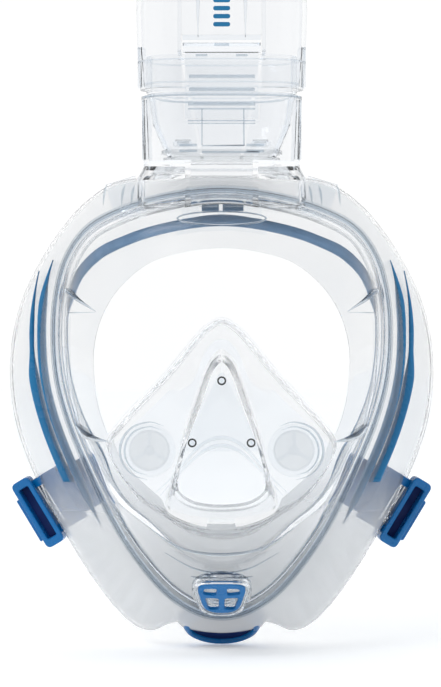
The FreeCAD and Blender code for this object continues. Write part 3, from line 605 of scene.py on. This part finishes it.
def brow_flange():
    """Blue frame behind the brow: a narrow band from temple to temple that thins out below them."""
    front, round_off, thickness = FLANGE_Y + 4.6, 0.3, 2.8
    middle = mix(offset(rim, -4.4), offset(rim, -11.4), brow_share)
    inside = mix(offset(middle, -0.2), offset(middle, -2.3), brow_fullness)
    outside = mix(offset(middle, 0.2), offset(middle, 2.3), brow_fullness)
    rings = [ring(inside, front + round_off), ring(offset(inside, 0.1), front),
             ring(offset(outside, -0.1), front), ring(outside, front + round_off),
             ring(outside, front + thickness), ring(inside, front + thickness)]
    band("brow_flange", rings, BLUE_BROW, replaces=["seal_frame"], slot="blue_plastic")


def side_strip(name, side, out, depth, low, high, half_width):
    """A blue strip along the rim at one side, at a distance out and a depth, between two heights."""
    profile = ((-1, 0.2), (-0.7, -0.4), (0.7, -0.1), (1, 0.6), (1, 3.4), (-1, 3.4))
    sections = []
    for p in offset(rim, out):
        if side * p.x < 0 or not low < p.y < high:
            continue
        half = half_width(p.y)
        base = Vector((p.x, depth + sweep(p.x), p.y))
        sections.append([base + Vector((dx * half, dy, 0)) for dx, dy in profile])
    if side < 0:
        sections = sections[::-1]
    rod(name + "_" + side_name(side), sections, BLUE_RING, slot="blue_plastic")


def ledge_width(z):
    """Half width of the frame's ledge: full at mid height, thin at both ends."""
    return 0.15 + 2.0 * eased((64.0 - z) / 22.0) * eased((z + 54.0) / 16.0)


def lip_width(z):
    """Half width of the frame's lip: widest beside the cheek."""
    return 0.2 + 1.0 * eased((58.0 - z) / 30.0) + 1.5 * eased((24.0 - z) / 16.0)


def side_frame(side):
    """The frame beside the face: a ledge inside the skirt's wall and a lip outside it, down to the clip."""
    side_strip("frame_ledge", side, 6.8, -57.8, -54.0, 64.0, ledge_width)
    side_strip("frame_lip", side, 11.6, -57.6, -36.0, 58.0, lip_width)


# ---- skirt and cup ----
def chin_folds(p):
    """Soft folds of the skirt's two chin lobes: how far the wall stands out at a point."""
    lobe = eased((-52.0 - p.z) / 22.0) * eased((abs(p.x) - 22.0) / 10.0)
    across = 0.8 * abs(p.x) + 0.45 * p.z
    return 0.9 * lobe * (math.sin(across * 0.9) + 0.6 * math.sin(across * 1.7 + 1.0))


def chin_hood(points, depth):
    """Let the skirt's front hang down in a shallow bow over the chin cap."""
    half_width, deepest, chin_z = 19.0, 6.5, -80
    sag = deepest * eased((depth + 66.0) / 14.0) * eased((-36.0 - depth) / 10.0)
    fold = eased((depth + 62.0) / 8.0)
    hung = []
    for p in ring(points, depth):
        bow = math.sqrt(max(0.0, 1.0 - (p.x / half_width) ** 2)) if p.z < chin_z else 0.0
        hung.append(p + Vector((0, chin_folds(p) * fold, -sag * bow)))
    return hung


def skirt():
    """Silicone skirt: bead, flared outer wall, rolled edge and the curled seal lip."""
    bead_in = offset(rim, -4.2)
    outer = [ring(bead_in, BEAD_Y), ring(offset(rim, -0.3), BEAD_Y), ring(rim, BEAD_Y + 0.3),
             ring(rim, BEAD_Y + 5.2), ring(offset(rim, 0.8), BEAD_Y + 6.2)]
    outer += [chin_hood(mix(rim, silhouette, s), y)
              for s, y in ((0.25, -60.6), (0.45, -57.0), (0.65, -53.0), (0.82, -49.0), (0.93, -45.5))]
    outer += [chin_hood(mix(silhouette, opening, s), y) for s, y in ((0.0, SOFT_Y), (0.02, -35.0))]
    outer += [ring(mix(silhouette, opening, s), y)
              for s, y in ((0.07, -30.0), (0.14, -24.5), (0.25, -17.5), (0.38, -11.0), (0.52, -7.0),
                           (0.66, SEAL_Y), (0.80, -6.8), (0.92, -8.4))]
    lip_radius, lip_out, lip_y = 0.5, 0.6, -9.5
    inner = [ring(offset(opening, lip_out - lip_radius * math.cos(a)), lip_y + lip_radius * math.sin(a))
             for a in (math.radians(degrees) for degrees in range(90, -91, -30))]
    inner += [ring(mix(silhouette, opening, s), y)
              for s, y in ((0.92, -8.9), (0.80, -8.2), (0.66, -8.1), (0.53, -9.2), (0.40, -13.2),
                           (0.28, -19.6), (0.18, -26.4), (0.11, -32.0))]
    soft = offset(silhouette, -2.4)
    shoulder = offset(rim, -2)
    inner += [ring(offset(silhouette, -2.9), -36.0), ring(soft, SOFT_Y)]
    inner += [ring(mix(shoulder, soft, s), y)
              for s, y in ((0.95, -43.2), (0.82, -46.6), (0.62, -51.0), (0.42, -55.2), (0.2, -59.0))]
    inner += [ring(shoulder, BEAD_Y + 6.2), ring(shoulder, BEAD_Y + 2.2), ring(bead_in, BEAD_Y + 2.2)]
    band("skirt", outer + inner, SKIRT, replaces=["face_skirt"], slot="silicone")


def pocket_cup():
    """Nose and mouth cup: edge wall, rounded wing and the nose box, as one skin given thickness."""
    thickness = 1.7
    nose_centre = (0, -18)
    wing_y = -37.6
    wing_outer, wing_inner = offset(pocket, -4.6), offset(nose_back, 1.6)
    rings = [ring(offset(pocket, out), y)
             for out, y in ((2.2, -18.0), (1.7, -22.0), (1.1, -27.0), (0.4, -32.0), (-0.8, -35.6),
                            (-2.6, wing_y), (-4.6, -38.2))]
    rings += [ring(mix(wing_outer, wing_inner, 0.5), wing_y), ring(wing_inner, wing_y)]
    rings += [flat(mix(nose_back, nose_front, s), y)
              for s, y in ((0.0, -39.5), (0.3, -47.5), (0.65, -58.0), (0.94, -66.6))]
    rings += [flat(offset(nose_front, -0.6), -67.8), flat(offset(nose_front, -1.8), NOSE_FACE_Y)]
    rings += [flat(shrunk(nose_front, nose_centre, s), NOSE_FACE_Y) for s in (0.6, 0.3, 0.05)]
    bm = bmesh.new()
    rows = skin(bm, rings)
    cap(bm, rows[-1])
    cup = finish_mesh("mouth_cup", bm, CUP, replaces=["oronasal_pocket"], slot="clear_silicone")
    thick = cup.modifiers.new("thick", "SOLIDIFY")
    thick.thickness = thickness * MM
    thick.offset = -1


def pocket_details():
    """The cup's double mouth arch and the curved hoods outside its two valves."""
    for label, drop in (("outer", 0.0), ("inner", 3.4)):
        arch = mirrored([(0, -43.5, -15.6 - drop), (9, -43.5, -19.0 - drop), (19, -43.0, -30.5 - drop / 2),
                         (30 - drop, -42.5, -41.0)])
        wire("mouth_arch_" + label, arch, 0.8, FAINT, slot="clear_silicone")
    hood_y = -39.5
    for side in (-1, 1):
        for label, radius, thick in (("wide", 12.6, 0.55), ("tight", 10.6, 0.4)):
            hood = [(side * (VALVE_X + radius * math.cos(a)), hood_y, VALVE_Z + radius * math.sin(a))
                    for a in (-1.5, -1.0, -0.5, 0.0, 0.5, 1.0, 1.6, 2.1)]
            wire("valve_hood_%s_%s" % (label, side_name(side)), hood, thick, EDGE, slot="clear_shell")


# ---- chin grille, chin cap and strap clips ----
def purge_grille():
    """Blue grille over the chin valve, a rounded trapezoid with four windows, and the clear rim round it."""
    tilt = math.radians(52)
    out = Vector((0, -math.cos(tilt), -math.sin(tilt)))
    up = Vector((0, -math.sin(tilt), math.cos(tilt)))
    right = (1, 0, 0)
    stand_off, lift = 4.6, 2.6
    centre = Vector((0, -85.6, -79.2)) + out * stand_off + up * lift
    outside = rounded([(-11, 11), (11, 11), (7, -10.8), (-7, -10.8)], 6.5)
    holes = []
    for side in (-1, 1):
        upper = [(2.0, 7.8), (7.4, 7.6), (7.8, 3.4), (2.4, 2.4)]
        lower = [(1.2, 0.4), (7.2, 0.8), (5.4, -8.2), (1.2, -8.2)]
        holes += [rounded([(side * x, y) for x, y in corners], 1.6) for corners in (upper, lower)]
    plate("purge_grille", [outside] + holes, 1.8, 0.35, standing(centre, right, up), BLUE,
          replaces=["purge_cover"], slot="blue_plastic")
    rim_out = rounded([(-13.2, 13), (13.2, 13), (8.6, -12.8), (-8.6, -12.8)], 8)
    rim_in = rounded([(-11.8, 11.7), (11.8, 11.7), (7.6, -11.4), (-7.6, -11.4)], 7)
    plate("purge_surround", [rim_out, rim_in], 2.2, 0.5, standing(centre + out * 0.1, right, up), FRAME,
          slot="clear_frame")


def chin_plug():
    """Blue cap under the chin: a rim band round a dished middle that is darker blue as painted shade."""
    out = Vector((0, -0.5, -0.866))
    centre = Vector((0, -45.0, -93.0))
    right = Vector((1, 0, 0))
    place = standing(centre, right, out.cross(right))
    rim_profile = [(15.2, -1.0), (17.5, -0.6), (17.4, 2.4), (16.9, 4.6), (15.9, 6.2), (14.8, 6.9),
                   (13.9, 6.8), (13.6, 5.0)]
    dish_profile = [(0.05, 2.6), (11.5, 3.6), (14.2, 5.4), (15.4, 2.0), (0.05, 1.0)]
    turned("chin_cap_rim", rim_profile, place, BLUE, replaces=["chin_cap"], slot="blue_plastic")
    # Painted shade: the dish is dark navy for the shadow the chin casts into it.
    turned("chin_cap_dish", dish_profile, place, BLUE_PAINTED_SHADE, slot="blue_plastic")


def strap_clip(side):
    """Blue clip: a deep rounded frame round the strap slot, a closed back in painted shade, a grip ledge
    outside.
    """
    lean = math.radians(31)
    centre = Vector((side * 81.6, -10.4, -49.8))
    right = Vector((math.cos(lean), 0, -side * math.sin(lean)))
    up = Vector((side * math.sin(lean), 0, math.cos(lean)))
    right = (right + Vector((0, side * 0.18, 0))).normalized()
    name = side_name(side)
    body = "clip_" + name
    outside, slot_edge = rounded_box(4.6, 16.4, 2.6), rounded_box(2.3, 12.6, 0.9)
    plate("strap_clip_body_" + name, [outside, slot_edge], 7.4, 0.7, standing(centre, right, up), BLUE,
          body=body, replaces=["strap_clip_" + name], slot="blue_plastic")
    # Painted shade: the back plate is dark navy, for the shade deep in the strap slot.
    behind = centre + Vector((0, 2.6, 0))
    plate("strap_clip_back_" + name, [rounded_box(3.4, 14.6, 1.5)], 1.6, 0.2, standing(behind, right, up),
          BLUE_PAINTED_SHADE, body=body, slot="blue_plastic")
    beside = centre + right * side * 4.9 + Vector((0, 1.4, 0))
    ridge = rounded([(-1.5, -12.2), (1.5, -11.4), (1.5, 8.6), (-1.5, 9.4)], 0.9)
    plate("strap_clip_ledge_" + name, [ridge], 3.2, 0.4, standing(beside, right, up), BLUE, body=body,
          slot="blue_plastic")


# ---- small details of the snorkel and the brow ----
def oval_path(width, depth, z, count=24):
    """Points round a level oval about the snorkel's centre line."""
    points = []
    for angle in angles(count):
        across, along = math.cos(angle), math.sin(angle)
        points.append(Vector((width / 2 * abs(across) ** 0.7 * math.copysign(1, across),
                              TUBE_Y + depth / 2 * abs(along) ** 0.8 * math.copysign(1, along), z)))
    return points


def latch_details():
    """Ribs and marks on the release tab, and the sill behind it."""
    rib_half, front, back = 0.7, LATCH_RIB_Y, LATCH_RIB_Y + 0.5
    bars("latch_ribs", [(-13.8, 14.0, front, back, z - rib_half, z + rib_half) for z in (138.2, 132.7)],
         EDGE, body="latch", slot="clear_shell")
    bars("latch_marks", [(-3.2, 3.2, -85.0, -84.4, 150.9, 152.1), (-11.0, -6.0, -84.2, -83.6, 146.6, 147.6),
                         (6.0, 11.0, -84.2, -83.6, 146.6, 147.6)], EDGE, body="latch", slot="clear_shell")
    bars("latch_sill", [(-16.6, 16.6, -81.6, -80.6, 153.8, 155.9)], FAINT, body="snorkel", slot="clear_shell")


def plug_details():
    """Ribs, frame and ticks on the front of the plug."""
    front, back = PLUG_RIB_Y, PLUG_RIB_Y + 0.4
    ribs = [(-8.4, 9.6, 108.9, 109.4), (-8.4, 16.0, 106.0, 107.0), (-8.6, -8.1, 109.4, 125.0),
            (9.1, 9.6, 109.4, 125.0), (-14.2, 14.2, 126.2, 127.6), (-14.2, 14.2, 124.5, 125.2)]
    bars("plug_ribs", [(x0, x1, front, back, z0, z1) for x0, x1, z0, z1 in ribs], EDGE, body="snorkel",
         slot="clear_shell")
    for side in (-1, 1):
        span = sorted((side * 10.5, side * 17.8))
        ticks = [(*span, front, back, z, z + 1.1) for z in (108.9, 106.4)]
        bars("plug_ticks_" + side_name(side), ticks, EDGE, body="snorkel", slot="clear_shell")


def socket_details():
    """Ribs, painted shade strips on the side walls, and lip of the socket."""
    front, back = SOCKET_RIB_Y, SOCKET_RIB_Y + 0.3
    ribs = [(-14.2, 14.2, front, back, z - half, z + half) for z, half in ((119.4, 0.3), (118.2, 0.2))]
    bars("socket_ribs", ribs, EDGE, slot="clear_shell")
    # Painted shade: grey bars where the socket's rounded side walls look grey.
    for side in (-1, 1):
        span = sorted((side * 31.6, side * 34.0))
        bars("socket_side_painted_shade_" + side_name(side), [(*span, -70.0, -58.0, 104.0, 129.5)], FAINT,
             slot="clear_shell")
    wire("socket_lip", oval_path(67.6, 40.6, 130.4), 0.4, EDGE, closed=True, slot="clear_shell")


def tube_details():
    """Rails of the tube, painted shade strips on its side walls, and the lines round its collar."""
    for side in (-1, 1):
        name = side_name(side)
        rail = [(10, -82.4, 155.0), (10, -82.2, 180), (9.4, -81.0, 225), (8.8, -79.8, 262)]
        wire("tube_rail_" + name, [(side * x, y, z) for x, y, z in rail], 1.2, FAINT, body="snorkel",
             slot="clear_shell")
        # Painted shade: grey bars where the tube's rounded side walls look grey.
        span = sorted((side * 33.2, side * 35.9))
        bars("tube_side_painted_shade_" + name, [(*span, -69.0, -59.0, 135.0, 152.0)], FAINT, body="snorkel",
             slot="clear_shell")
    collar = {"upper": (67.4, 32.0, 146.0), "middle": (65.4, 29.6, 136.4), "lower": (63.0, 30.0, 131.6)}
    for label, (width, depth, z) in collar.items():
        wire("collar_ring_" + label, oval_path(width, depth, z), 0.35, FAINT, closed=True, body="snorkel",
             slot="clear_shell")


def brow_details():
    """The air window at the middle of the brow and the upright bars of the upper strap anchors."""
    half_width, half_height, front, level = 18.5, 2.9, -97.0, 77.6
    edge = []
    for angle in angles(16):
        x = half_width * math.cos(angle)
        edge.append((x, front + sweep(x), level + half_height * math.sin(angle)))
    wire("brow_window_edge", edge, 0.35, EDGE, closed=True, slot="clear_shell")
    bars("brow_window_frame", [(-8.6, -1.2, -70.4, -69.6, 82.8, 86.4), (0.4, 9.4, -70.4, -69.6, 82.8, 86.4)],
         BLUE_BROW, slot="blue_plastic")
    anchor_y = -65.6
    for side in (-1, 1):
        for i, x in enumerate((37.6, 41.8, 49.6)):
            upright = [(side * (x + out), anchor_y, z) for out, z in ((1.2, 84.5), (0.6, 90.0), (-0.4, 93.4))]
            wire("anchor_bar_%d_%s" % (i, side_name(side)), upright, 0.55, EDGE, slot="clear_frame")


# ---- CAD pieces that keep their shape ----
def carry(node, material, edge=0.0):
    """Give a CAD node its material and, where it helps, a small rounded edge."""
    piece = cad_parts[node]
    piece.data.materials.clear()
    piece.data.materials.append(material)
    if edge:
        bevel(piece, edge)


def carried_parts():
    """Every CAD piece that shows in its own shape."""
    for node in ("snorkel_socket", "snorkel_base", "snorkel_tube"):
        carry(node, SHELL, 0.3)
    carry("nose_plate_rivets", FAINT, 0.25)
    for node in ("nose_plate", "air_inlet_frame", "air_baffle", "purge_seat", "release_latch"):
        carry(node, FRAME, 0.25)
    for node in ("socket_gasket", "base_seal", "purge_flap", "float_seal"):
        carry(node, FLAP)
    for node in ("drytop_body", "drytop_cap"):
        carry(node, BLUE, 0.3)
    carry("tube_mark", PRINT)
    carry("float_block", FLOAT, 0.4)
    for side in ("left", "right"):
        carry("inhale_seat_" + side, FRAME, 0.25)
        carry("exhale_seat_" + side, FRAME, 0.2)
        carry("inhale_flap_" + side, FLAP)
        carry("exhale_flap_" + side, FLAP)
        carry("strap_bracket_" + side, BLUE, 0.4)
        carry("strap_loop_" + side, FRAME, 0.5)
        carry("clip_pin_" + side, STEEL)


# ---- camera, light and floor, in metres ----
CAMERA_AT = (-0.0005, -1.3, 0.0254)
LENS_MM = 151.0
KEY_AT = (-0.9, -1.2, 1.3)
FLOOR_HALF = 7.0
FLOOR_DROP = 0.005          # below the CAD box, so that the chin cap's lower edge clears the floor


def camera():
    """A long lens straight in front of the mask."""
    data = bpy.data.cameras.new("camera")
    data.lens = LENS_MM
    data.sensor_width = 36.0
    data.clip_start = 0.01
    view = bpy.data.objects.new("camera", data)
    view.location = CAMERA_AT
    view.rotation_euler = (math.radians(90), 0, 0)
    bpy.context.scene.collection.objects.link(view)
    bpy.context.scene.camera = view


def surround():
    """World that is white behind the mask and greyer behind the camera."""
    world = bpy.data.worlds.new("studio")
    world.use_nodes = True
    tree = world.node_tree
    tree.nodes.clear()
    where = tree.nodes.new("ShaderNodeTexCoord")
    split = tree.nodes.new("ShaderNodeSeparateXYZ")
    span = tree.nodes.new("ShaderNodeMapRange")
    shade = tree.nodes.new("ShaderNodeValToRGB")
    light = tree.nodes.new("ShaderNodeBackground")
    out = tree.nodes.new("ShaderNodeOutputWorld")
    span.inputs["From Min"].default_value = -1.0
    steps = ((0.0, (0.44, 0.48, 0.53)), (0.2, (0.62, 0.66, 0.70)), (0.62, (0.80, 0.82, 0.84)),
             (0.90, (1, 1, 1)))
    while len(shade.color_ramp.elements) < len(steps):
        shade.color_ramp.elements.new(0.5)
    for element, (position, colour) in zip(shade.color_ramp.elements, steps):
        element.position = position
        element.color = (*colour, 1)
    light.inputs["Strength"].default_value = 1.04
    tree.links.new(where.outputs["Generated"], split.inputs["Vector"])
    tree.links.new(split.outputs["Y"], span.inputs["Value"])
    tree.links.new(span.outputs["Result"], shade.inputs["Fac"])
    tree.links.new(shade.outputs["Color"], light.inputs["Color"])
    tree.links.new(light.outputs["Background"], out.inputs["Surface"])
    bpy.context.scene.world = world


def key_light():
    """One large soft light from the upper left, in front."""
    key = bpy.data.lights.new("key", "AREA")
    key.energy = 9
    key.size = 0.9
    lamp = bpy.data.objects.new("key", key)
    lamp.location = KEY_AT
    lamp.rotation_euler = (Vector((0, 0, 0)) - lamp.location).to_track_quat("-Z", "Y").to_euler()
    bpy.context.scene.collection.objects.link(lamp)


def pale_floor():
    """A pale floor that takes a soft shadow."""
    bm = bmesh.new()
    bmesh.ops.create_grid(bm, x_segments=2, y_segments=2, size=FLOOR_HALF)
    mesh = bpy.data.meshes.new("floor")
    bm.to_mesh(mesh)
    bm.free()
    floor = bpy.data.objects.new("floor", mesh)
    floor.location.z = cad_box[0].z - FLOOR_DROP
    bpy.context.scene.collection.objects.link(floor)
    material, tree, shader = new_material("floor")
    tree.links.new(ramp(tree, noise(tree, 3), 0.93, 0.96), shader.inputs["Base Color"])
    shader.inputs["Roughness"].default_value = 0.9
    shader.inputs["Emission Color"].default_value = (1, 1, 1, 1)
    shader.inputs["Emission Strength"].default_value = 0.25
    mesh.materials.append(material)


def light_paths():
    """Enough bounces to see through every clear layer."""
    settings = bpy.context.scene.cycles
    settings.max_bounces = 28
    settings.transmission_bounces = 28
    settings.transparent_max_bounces = 24
    settings.glossy_bounces = 8
    settings.caustics_reflective = False
    settings.use_denoising = True
    bpy.context.scene.view_settings.view_transform = "Standard"


camera()
surround()
key_light()
pale_floor()
light_paths()
pane_marks(visor())
bezel()
brow_flange()
skirt()
pocket_cup()
pocket_details()
purge_grille()
chin_plug()
for side in (-1, 1):
    side_frame(side)
    strap_clip(side)
carried_parts()
latch_details()
plug_details()
socket_details()
tube_details()
brow_details()
